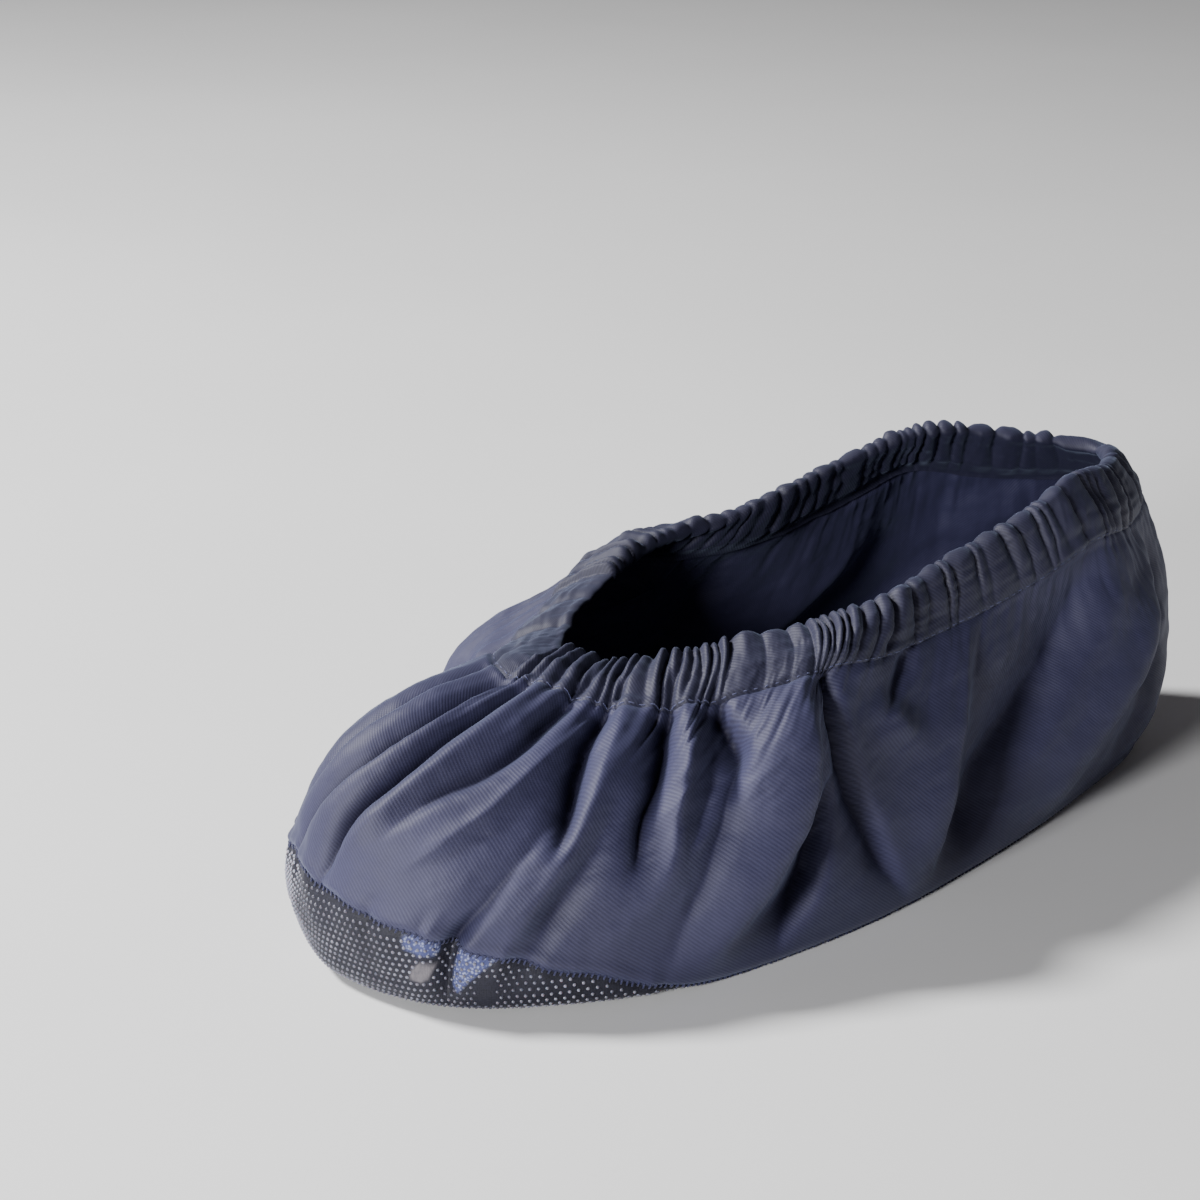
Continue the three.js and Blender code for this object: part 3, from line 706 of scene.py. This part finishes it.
def twill_material(name, dark=1.0):
    m = Nodes(name)
    uv, place = m.coords()
    # dark below 1 darkens the whole colour: painted shade for a part that gets less light
    tint = lambda r, g, b: linear(*(v * dark for v in (r, g, b)))
    waver = m.noise(uv, 60)
    across = m.add("ShaderNodeSeparateXYZ", {0: uv})
    x, y = across.outputs[0], across.outputs[1]
    # Diagonal ribs, 0.8 mm apart, that fall towards the heel, and the yarns that cross them
    slant = m.math("ADD", m.times(x, 0.62), m.times(y, 0.78))
    slant = m.math("ADD", slant, m.times(waver, 0.0007))
    rib = m.wave(slant, 0.0008)
    yarn = m.wave(m.math("SUBTRACT", m.times(x, 0.78), m.times(y, 0.62)), 0.00055)
    weave = m.math("ADD", m.times(rib, 0.75), m.times(yarn, 0.25))
    patches = m.noise(place, 14, 3, 0.55)
    tone = m.ramp(patches, [(0.3, tint(36, 34, 60)), (0.7, tint(46, 45, 78))])
    tone = m.mix(m.times(rib, 0.42), tone, tint(64, 66, 98))
    tone = m.mix(m.times(m.noise(uv, 900), 0.2), tone, linear(24, 24, 34))
    # Painted shade: the cloth is darker down in folds and clefts, and has less sheen and gloss
    # there
    painted_fold_shade = m.value_of("painted_fold_shade")
    tone = m.mix(m.times(painted_fold_shade, 0.7), tone, linear(16, 14, 22))
    m.link(tone, "Base Color")
    open_share = m.math("SUBTRACT", 1.0, m.times(painted_fold_shade, 0.8))
    m.link(m.times(open_share, 0.24), "Sheen Weight")
    m.link(m.times(open_share, 0.5), "Specular IOR Level")
    m.link(m.math("ADD", m.times(weave, -0.06), m.scaled(patches, 0.10, 0.6)), "Roughness")
    uneven = m.bump(m.noise(place, 160, 3), 0.12, 0.002)
    m.link(m.bump(weave, 0.45, 0.0001, uneven), "Normal")
    m.set(Sheen_Roughness=0.4, Sheen_Tint=linear(180, 196, 232))
    return m.material


def grip_material(name):
    m = Nodes(name)
    uv, place = m.coords()
    weave = m.cells(uv, 1400.0, 0.5)
    patches = m.noise(place, 40, 3, 0.6)
    tone = m.ramp(patches, [(0.3, linear(14, 14, 19)), (0.7, linear(27, 26, 36))])
    tone = m.mix(m.times(weave, 0.32), tone, linear(58, 59, 78))
    # Painted highlights: bright bluish flecks on the patches beside the pleat, under the seam
    painted_glints = [(0.1, linear(165, 173, 210)), (0.5, linear(74, 80, 128))]
    painted_glints = m.ramp(m.cells(place, 1100.0), painted_glints)
    tone = m.mix(m.times(m.value_of("painted_highlight"), 0.85), tone, painted_glints)
    # Pale smears on the worn patches: real wear
    smear = m.noise(place, 420, 3, 0.6, (1.0, 1.0, 0.3))
    tone = m.mix(m.times(m.value_of("wear_and_painted_light"), smear), tone, linear(150, 144, 150))
    m.link(tone, "Base Color")
    m.link(m.scaled(patches, 0.15, 0.5), "Roughness")
    uneven = m.bump(m.noise(place, 120, 3), 0.25, 0.001)
    m.link(m.bump(weave, 0.5, 0.0002, uneven), "Normal")
    m.set(Sheen_Weight=0.04, Sheen_Roughness=0.4, Sheen_Tint=linear(190, 195, 225))
    m.set(Specular_IOR_Level=0.3)
    return m.material


def dot_material(name):
    m = Nodes(name)
    place = m.coords()[1]
    # The dots' tone goes from dark to light at random: painted light and shade, some dots lit and
    # some in shade
    wear_and_painted_light = m.noise(place, 55, 3, 0.6)
    m.link(m.ramp(wear_and_painted_light, [(0.35, linear(74, 73, 88)), (0.65, linear(138, 138, 154))]), "Base Color")
    m.link(m.scaled(wear_and_painted_light, 0.25, 0.2), "Roughness")
    m.link(m.bump(m.noise(place, 2500), 0.2, 0.0001), "Normal")
    m.set(Specular_IOR_Level=0.6, Subsurface_Weight=0.15, Subsurface_Scale=0.0005)
    return m.material


def thread_material(name, colour):
    m = Nodes(name)
    uv, place = m.coords()
    inputs = {"Vector": uv, "Scale": 900.0, "Distortion": 1.0}
    twist = m.add("ShaderNodeTexWave", inputs, bands_direction="DIAGONAL").outputs["Fac"]
    shade = m.noise(place, 300)
    times = lambda share: linear(*(min(255, share * v) for v in colour))
    tone = m.mix(m.times(shade, 0.6), linear(*colour), times(0.6))
    m.link(m.mix(m.times(twist, 0.35), tone, times(1.5)), "Base Color")
    m.link(m.scaled(shade, 0.2, 0.45), "Roughness")
    m.link(m.bump(twist, 0.5, 0.0001), "Normal")
    m.set(Sheen_Weight=0.2, Specular_IOR_Level=0.5)
    return m.material


def elastic_material(name):
    m = Nodes(name)
    uv, place = m.coords()
    inputs = {"Vector": uv, "Scale": 300.0, "Distortion": 0.4}
    ribs = m.add("ShaderNodeTexWave", inputs, bands_direction="Y").outputs["Fac"]
    fuzz = m.noise(place, 900, 3)
    m.link(m.mix(ribs, linear(205, 205, 200), linear(235, 235, 231)), "Base Color")
    m.link(m.scaled(fuzz, 0.2, 0.65), "Roughness")
    m.link(m.bump(ribs, 0.5, 0.0004, m.bump(fuzz, 0.2, 0.0003)), "Normal")
    m.set(Sheen_Weight=0.15)
    return m.material


def floor_material(name):
    m = Nodes(name)
    mottle = m.noise(m.coords()[1], 3, 4)
    tone = m.ramp(mottle, [(0.3, linear(243, 243, 243)), (0.7, linear(248, 248, 248))])
    m.link(tone, "Base Color")
    m.link(m.scaled(mottle, 0.1, 0.6), "Roughness")
    return m.material


twill = twill_material("twill")
# A darker copy of the twill for the casing: painted shade, as the casing gets less light
twill_painted_shade = twill_material("twill_painted_shade", 0.78)
grip = grip_material("grip_cloth")
dots_look = dot_material("grip_dots")
navy_thread = thread_material("navy_thread", (24, 26, 66))


# The upper

UPPER_COLUMNS = 900
UPPER_ROWS = 104


def upper_levels(turns):
    low = seam_level(turns, -0.5)[:, None]
    share = np.linspace(0, 1, UPPER_ROWS)[None]
    return low + (1.012 - low) * share


under = np.zeros(UPPER_ROWS)
under[[0, -2, -1]] = 0.3, 0.1, 0.3  # its edges are tucked under the sole's and the casing's
turns = columns_of(UPPER_COLUMNS)
levels = upper_levels(turns)
grid = np.broadcast_to(turns[:, None], levels.shape)
uv = sheet_uv(turns, level_to_length(levels, stitch_of(turns)[:, None]))
faces = ring_grid(UPPER_COLUMNS, UPPER_ROWS)
upper = mesh_object("upper_cloth", cloth(grid, levels, under), faces, uv)
upper.data.materials.append(twill)
# painted shade in the upper's folds
add_values(upper, "painted_fold_shade", painted_fold_shade_at(grid, levels))
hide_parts("upper")

# The casing: up its outer face, over the rim and down its inner face

CASING_COLUMNS = 1400
HEM = 4.6  # mm from the outer to the inner face


def casing_section():
    """Rows of (mm up from the stitches, mm under the outer face, share of the gathers)."""
    radius = HEM / 2
    turn_in = CASING_WIDTH - radius
    rows = [(up, 0.0, 1.0) for up in np.linspace(0, turn_in, 30)]
    for a in np.linspace(0, math.pi, 9)[1:-1]:
        rows.append((turn_in + radius * math.sin(a), radius * (1 - math.cos(a)), math.cos(a)))
    for up in np.linspace(turn_in, 0, 18):
        # towards the stitches the inner face nears the outer one and loses its puffs
        rows.append((up, HEM * min(1, 0.25 + 0.75 * up / 7), -0.8 * min(1, up / 5)))
    return np.array(rows)


def rim_rise(turn, level):
    """How far a puff lifts the rim, in mm: more round the toe's side of the mouth than behind."""
    front_share = 1 - smooth(np.abs((turn + 0.5) % 1 - 0.5), 0.12, 0.2)
    return (1.2 + 1.4 * front_share) * (puff_at(turn, level) - 0.4) * (level - 1)**3


section = casing_section()
turns = columns_of(CASING_COLUMNS)
grid = np.broadcast_to(turns[:, None], (len(turns), len(section)))
up_mm = np.broadcast_to(section[:, 0], grid.shape)
level = 1 + up_mm / CASING_WIDTH
plain_out = out_at(grid, level) - gather_at(grid, level)
out = plain_out + section[:, 2] * gather_at(grid, level)
points = cloth(grid, level, section[:, 1], out)
points[..., 2] += rim_rise(grid, level)
section_steps = np.hypot(np.diff(section[:, 0]), np.diff(section[:, 1]))
along = np.concatenate([[0], np.cumsum(section_steps)])
uv = sheet_uv(turns, stitch_of(turns)[:, None] + along[None])
casing = mesh_object("casing_cloth", points, ring_grid(CASING_COLUMNS, len(section)), uv)
# the casing's twill is darker all over: painted shade
casing.data.materials.append(twill_painted_shade)
# painted shade in the casing's clefts, on its outer face only
add_values(casing, "painted_fold_shade", painted_fold_shade_at(grid, level) * (section[:, 2] > 0))
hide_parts("casing")

# The sole: flat under the foot and drawn up round the toe

DOT_HEIGHT = 0.42
DOT_PITCH = 2.3
DOT_RADIUS = 0.52
DOT_SUNK = 0.03
DOT_RINGS = 2
ROW_SHARE = 0.87  # of the pitch, between two rows of dots


def off_floor(points):
    """The sole's cloth stands on its dots."""
    points = points.copy()
    points[..., 2] += DOT_HEIGHT * (1 - smooth(points[..., 2], 0, 3))
    return points


SOLE_COLUMNS = 1200
WRAP_ROWS = 30
FLAT_ROWS = 14
MIDDLE_END = 110  # the flat part's columns run to a line that ends this far from the middle
turns = columns_of(SOLE_COLUMNS)
levels = seam_level(turns)[:, None] * np.linspace(0, 1, WRAP_ROWS)[None]
grid = np.broadcast_to(turns[:, None], levels.shape)
wrap_points = cloth(grid, levels)
edge = wrap_points[:, :1]
middle = np.zeros_like(edge)
middle[..., 1] = np.clip(edge[..., 1], -MIDDLE_END, MIDDLE_END)
shares = np.linspace(0, 1, FLAT_ROWS + 1)[None, :-1, None]
flat_points = middle + (edge - middle) * shares
points = off_floor(np.concatenate([flat_points, wrap_points], 1))
uv = np.concatenate([flat_points[..., :2], sheet_uv(turns, level_to_length(levels, 100))], 1)
sole = mesh_object("sole_cloth", points, ring_grid(SOLE_COLUMNS, points.shape[1]), uv)
sole.data.materials.append(grip)
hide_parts("sole")

# Beside the pleat, under the seam, the grip cloth has painted highlights with bright flecks, and
# below them it is worn dull.
# Each patch is a polygon of (turn, mm up from the sole's edge), clockwise.
PAINTED_HIGHLIGHT_PATCHES = (
    ((.0496, 30.8), (.0575, 33), (.0667, 30), (.0671, 25.3), (.0587, 25.6), (.0521, 27.5)),
    ((.0758, 27.5), (.0929, 25), (.0779, 13.4), (.0750, 14.7)),
)
WORN_PATCHES = (
    ((.0546, 17.5), (.0560, 20.5), (.0600, 23.4), (.0671, 22), (.0640, 17.5), (.0600, 16)),
)
BARE_PATCHES = (
    ((.0870, 19.3), (.0960, 17.8), (.0960, 8.3), (.0870, 9.7)),
)


def in_patches(patches, turn, mm):
    """1 inside any of the patches and 0 outside, with an edge of about 1 mm."""
    most = np.zeros(np.shape(turn))
    for patch in patches:
        nearest = np.full(np.shape(turn), 9.0)
        for (turn_a, mm_a), (turn_b, mm_b) in zip(patch, patch[1:] + patch[:1]):
            run, climb = (turn_b - turn_a) * cloth_girth, mm_b - mm_a
            side = (turn - turn_a) * cloth_girth * climb - (mm - mm_a) * run
            nearest = np.minimum(nearest, side / math.hypot(run, climb))
        most = np.maximum(most, smooth(nearest, -0.5, 0.6))
    return most


patch_turn = np.broadcast_to(turns[:, None], points.shape[:2])
patch_mm = level_to_length(levels, stitch_of(turns)[:, None])
patch_mm = np.concatenate([np.full((len(turns), FLAT_ROWS), -9.0), patch_mm], 1)
# painted highlights, and the real worn patches
for name, patches in (("painted_highlight", PAINTED_HIGHLIGHT_PATCHES), ("wear_and_painted_light", WORN_PATCHES)):
    add_values(sole, name, in_patches(patches, patch_turn, patch_mm))


# The grip dots

def domes(name, centres, normals, sides, material):
    """Low domes on the sole, all in one mesh."""
    helper = np.where(np.abs(normals[:, 2:3]) > 0.9, [[1.0, 0, 0]], [[0, 0, 1.0]])
    a = np.cross(normals, helper)
    a /= np.linalg.norm(a, axis=1, keepdims=True)
    b = np.cross(normals, a)
    angle = np.arange(sides) / sides * 2 * math.pi
    round_ = a[:, None] * np.cos(angle)[None, :, None] + b[:, None] * np.sin(angle)[None, :, None]
    shape = []
    for ring in range(DOT_RINGS):
        lift = math.pi / 2 * ring / DOT_RINGS
        wide, high = DOT_RADIUS * math.cos(lift), DOT_HEIGHT * math.sin(lift)
        shape.append(centres[:, None] + wide * round_ + normals[:, None] * (high - DOT_SUNK))
    shape.append((centres + normals * (DOT_HEIGHT - DOT_SUNK))[:, None])
    each = sides * DOT_RINGS + 1
    start = np.arange(len(centres))[:, None, None] * each
    i = np.arange(sides)
    after = (i + 1) % sides
    last = (DOT_RINGS - 1) * sides
    quads = [
        np.stack([r + i, r + after, r + sides + after, r + sides + i], -1)
        for r in range(0, last, sides)]
    tips = np.stack([last + i, last + after, np.full(sides, each - 1)], -1)
    faces = (start + np.concatenate(quads)[None]).reshape(-1, 4).tolist()
    faces += (start + tips[None]).reshape(-1, 3).tolist()
    made = mesh_object(name, np.concatenate(shape, 1), faces)
    made.data.materials.append(material)
    return made


def wrap_dots():
    count = int(cloth_girth / DOT_PITCH)
    places = []
    for row in range(20):
        mm = 1.6 + row * DOT_PITCH * ROW_SHARE
        turns = (np.arange(count) + 0.5 * (row % 2)) / count * cloth_girth
        turns = np.interp(turns, np.append(cloth_place, cloth_girth), columns_of(TURNS)) % 1
        bare = in_patches(WORN_PATCHES + BARE_PATCHES, turns, mm) >= 0.5
        keep = (mm < ring_value(seam_at, turns) - 1.3) & ~bare
        places += [(turn, mm) for turn in turns[keep]]
    return np.array(places)


def normals_of(turn, level):
    """Outward normals of the folded cloth."""
    step_turn, step_level = 0.0008, 0.012
    round_ = cloth(turn + step_turn, level) - cloth(turn - step_turn, level)
    rising = cloth(turn, level + step_level) - cloth(turn, np.maximum(level - step_level, 0))
    n = np.cross(round_, rising)
    return n / np.linalg.norm(n, axis=-1, keepdims=True)


spot_turn, spot_mm = wrap_dots().T
spot_level = length_to_level(spot_turn, spot_mm)
centres = off_floor(cloth(spot_turn, spot_level))
toe_dots = domes("grip_dots_toe", centres, normals_of(spot_turn, spot_level), 8, dots_look)

# Under the foot: a grid of dots, kept where it is inside the sole's edge
ground = base[:, 0, :2]
xs = np.arange(-30, 31) * DOT_PITCH
ys = np.arange(-76, 77) * DOT_PITCH * ROW_SHARE
gx, gy = np.meshgrid(xs, ys)
gx = gx + (np.arange(len(ys)) % 2)[:, None] * DOT_PITCH / 2
gx, gy = gx.ravel(), gy.ravel()
inner = ground * (1 - 1.6 / np.maximum(np.linalg.norm(ground, axis=1, keepdims=True), 1))
x0, y0 = inner[:, 0], inner[:, 1]
x1, y1 = np.roll(x0, -1), np.roll(y0, -1)
crossing = (y0[None] > gy[:, None]) != (y1[None] > gy[:, None])
climb = np.where(y1 == y0, 1e-9, y1 - y0)
meets = x0[None] + (gy[:, None] - y0[None]) / climb[None] * (x1 - x0)[None]
keep = (np.sum(crossing & (gx[:, None] < meets), 1) % 2) == 1
centres = np.stack([gx[keep], gy[keep], np.full(keep.sum(), DOT_HEIGHT - DOT_SUNK)], 1)
down = np.tile([[0, 0, -1.0]], (len(centres), 1))
under_dots = domes("grip_dots_under", centres, down, 6, dots_look)


# Stitches

def stitches(name, turn, level, radius, material, lift):
    """Short threads on the cloth: turn and level hold a row of places for each."""
    centre = cloth(turn, level)
    n = normals_of(turn, level)
    centre = centre + n * lift
    along = np.gradient(centre, axis=1)
    along /= np.maximum(np.linalg.norm(along, axis=-1, keepdims=True), 1e-9)
    side = np.cross(along, n)
    count, steps = turn.shape
    share = np.linspace(-1, 1, steps)
    centre = centre - n * (share**4)[None, :, None] * (lift + radius * 0.8)
    wide = radius * np.sqrt(1 - 0.9 * share**4)
    sides = 6
    angle = np.arange(sides) / sides * 2 * math.pi
    cos, sin = np.cos(angle)[None, None, :, None], np.sin(angle)[None, None, :, None]
    round_ = side[:, :, None] * cos + n[:, :, None] * sin
    ring = centre[:, :, None] + wide[None, :, None, None] * round_
    start = (np.arange(count) * steps * sides)[:, None, None]
    k, i = np.meshgrid(np.arange(steps - 1) * sides, np.arange(sides), indexing="ij")
    after = (i + 1) % sides
    quads = np.stack([k + i, k + after, k + sides + after, k + sides + i], -1).reshape(-1, 4)
    faces = (start + quads[None]).reshape(-1, 4).tolist()
    for end in (0, steps - 1):
        loop = np.arange(sides) + end * sides
        faces += (start[:, 0] + (loop if end else loop[::-1])[None]).tolist()
    place = np.broadcast_to((share * 1.5)[None, :, None], ring.shape[:3])
    uv = np.stack([place, np.broadcast_to((angle / 6)[None, None], ring.shape[:3])], -1)
    made = mesh_object(name, ring, faces, uv)
    made.data.materials.append(material)
    return made


def spaced(level_of, pitch):
    """Turns a pitch of mm apart along a line of the cloth, and the turns to a mm."""
    turns = np.linspace(0, 1, 6000)
    points = cloth(turns, level_of(turns))
    run = np.concatenate([[0], np.cumsum(np.linalg.norm(np.diff(points, axis=0), axis=1))])
    count = int(run[-1] / pitch)
    return np.interp(np.arange(count) * run[-1] / count, run, turns), 1 / run[-1]


STITCH_LEVEL = 1.035

stitch_line = lambda turn: np.full_like(turn, STITCH_LEVEL)
middles, per_mm = spaced(stitch_line, 3.1)
turn = middles[:, None] + np.linspace(-1.0, 1.0, 7)[None] * per_mm
pale_thread = thread_material("casing_thread", (66, 69, 104))
casing_thread = stitches("casing_stitches", turn, stitch_line(turn), 0.17, pale_thread, 0.03)

middles, per_mm = spaced(seam_level, 1.75)
tall = np.linspace(-1.0, 1.1, 7)[None] + rng.uniform(-0.2, 0.2, (len(middles), 1))
turn = middles[:, None] + tall * 0.25 * per_mm
seam_thread = stitches("seam_stitches", turn, seam_level(turn, tall), 0.36, navy_thread, 0.22)

# The elastic, a ribbed band in the casing's tunnel

ELASTIC_COLUMNS = 1200
ELASTIC_ROW = 240  # the row of levels that gives the band its scale
BAND_DEPTHS = 1.9, 2.9  # mm under the casing's outer face
turns = columns_of(ELASTIC_COLUMNS)
outer_face = [(up, BAND_DEPTHS[0]) for up in np.arange(6.5, 17)]
inner_face = [(up, BAND_DEPTHS[1]) for up, _ in outer_face[::-1]]
band = np.array(outer_face + inner_face + outer_face[:1])
grid = np.broadcast_to(turns[:, None], (len(turns), len(band)))
level = np.broadcast_to(1 + band[:, 0] / CASING_WIDTH, grid.shape)
depth = np.broadcast_to(band[:, 1], grid.shape)
points = cloth(grid, level, depth, out_at(grid, level) - gather_at(grid, level))
points[..., 2] += rim_rise(grid, level)
uv = sheet_uv(turns, np.broadcast_to(band[:, 0], grid.shape), ELASTIC_ROW)
elastic = mesh_object("elastic_band", points, ring_grid(ELASTIC_COLUMNS, len(band)), uv)
elastic.data.materials.append(elastic_material("elastic_knit"))
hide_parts("elastic")

# Floor, light and camera

bpy.ops.mesh.primitive_plane_add(size=6)
floor = bpy.context.object
floor.name = "floor"
floor.data.materials.append(floor_material("floor_paper"))

world = bpy.data.worlds.new("studio")
bpy.context.scene.world = world
world.use_nodes = True
world.node_tree.nodes["Background"].inputs["Color"].default_value = (1.0, 0.95, 0.98, 1)
world.node_tree.nodes["Background"].inputs["Strength"].default_value = 0.07


def lamp(name, place, size, watts):
    data = bpy.data.lights.new(name, "AREA")
    data.shape = "DISK"
    data.size = size
    data.energy = watts
    made = bpy.data.objects.new(name, data)
    made.location = place
    made.rotation_euler = (LIT - Vector(place)).to_track_quat("-Z", "Y").to_euler()
    bpy.context.scene.collection.objects.link(made)


LIT = Vector((0, -0.02, 0.05))  # what the lamps point at
lamp("key", (-1.02, -0.95, 1.4), 0.36, 66)
lamp("front", (0.55, -1.65, 0.55), 0.4, 34)

PHOTO_WIDTH = 1200
AIM = 0, 0, 40.0
AIM_PIXEL = 752.3, 712.9  # where the photograph shows it


def photo_camera():
    """The photograph's view, with its distance in mm and its focal length in pixels."""
    azimuth, elevation = math.radians(53.15), math.radians(21.3)
    distance, focal = 801.0, 2671.0
    flat = math.cos(elevation)
    back = np.array([math.sin(azimuth) * flat, -math.cos(azimuth) * flat, math.sin(elevation)])
    right = np.array([math.cos(azimuth), math.sin(azimuth), 0])
    over = np.cross(back, right)
    off_x, off_y = ((pixel - PHOTO_WIDTH / 2) / focal * distance for pixel in AIM_PIXEL)
    place = np.array(AIM) + distance * back - off_x * right + off_y * over + np.array(SHIFT)
    data = bpy.data.cameras.new("photo")
    data.sensor_width = 36
    data.lens = focal / PHOTO_WIDTH * data.sensor_width
    data.clip_end = 20
    made = bpy.data.objects.new("photo", data)
    made.location = place / 1000
    made.rotation_euler = Vector(-back).to_track_quat("-Z", "Y").to_euler()
    bpy.context.scene.collection.objects.link(made)
    bpy.context.scene.camera = made


photo_camera()
